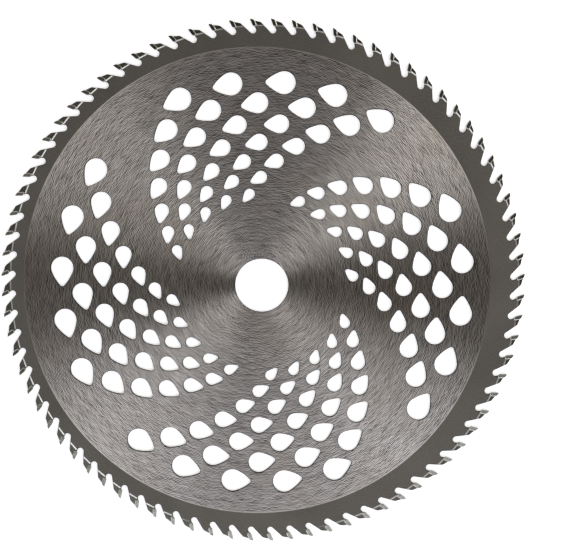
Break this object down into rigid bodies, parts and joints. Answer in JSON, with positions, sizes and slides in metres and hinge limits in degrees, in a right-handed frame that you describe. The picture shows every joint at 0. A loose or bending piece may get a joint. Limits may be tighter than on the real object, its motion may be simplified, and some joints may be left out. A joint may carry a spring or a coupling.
{
  "type": "brush cutter blade",
  "caption": "Flat round brush cutter blade with brazed carbide teeth, a plain central bore and drop-shaped lightening holes.",
  "frame": {"origin": "centre of the bore, in the plate's middle plane", "axes": "+Z along the bore's axis, out of the face that the picture shows; seen from +Z the teeth point anticlockwise; +Y is the top of the picture and +X its right"},
  "size_m": [0.2498, 0.2498, 0.002],
  "materials": {
    "tool_steel": "faces ground in circles, rim blasted matt and darker",
    "carbide": "ground tungsten carbide, satin"
  },
  "bodies": {
    "root": {"blade_plate": "tool_steel", "carbide_tips_upper_bevel": "carbide", "carbide_tips_lower_bevel": "carbide"}
  },
  "joints": []
}
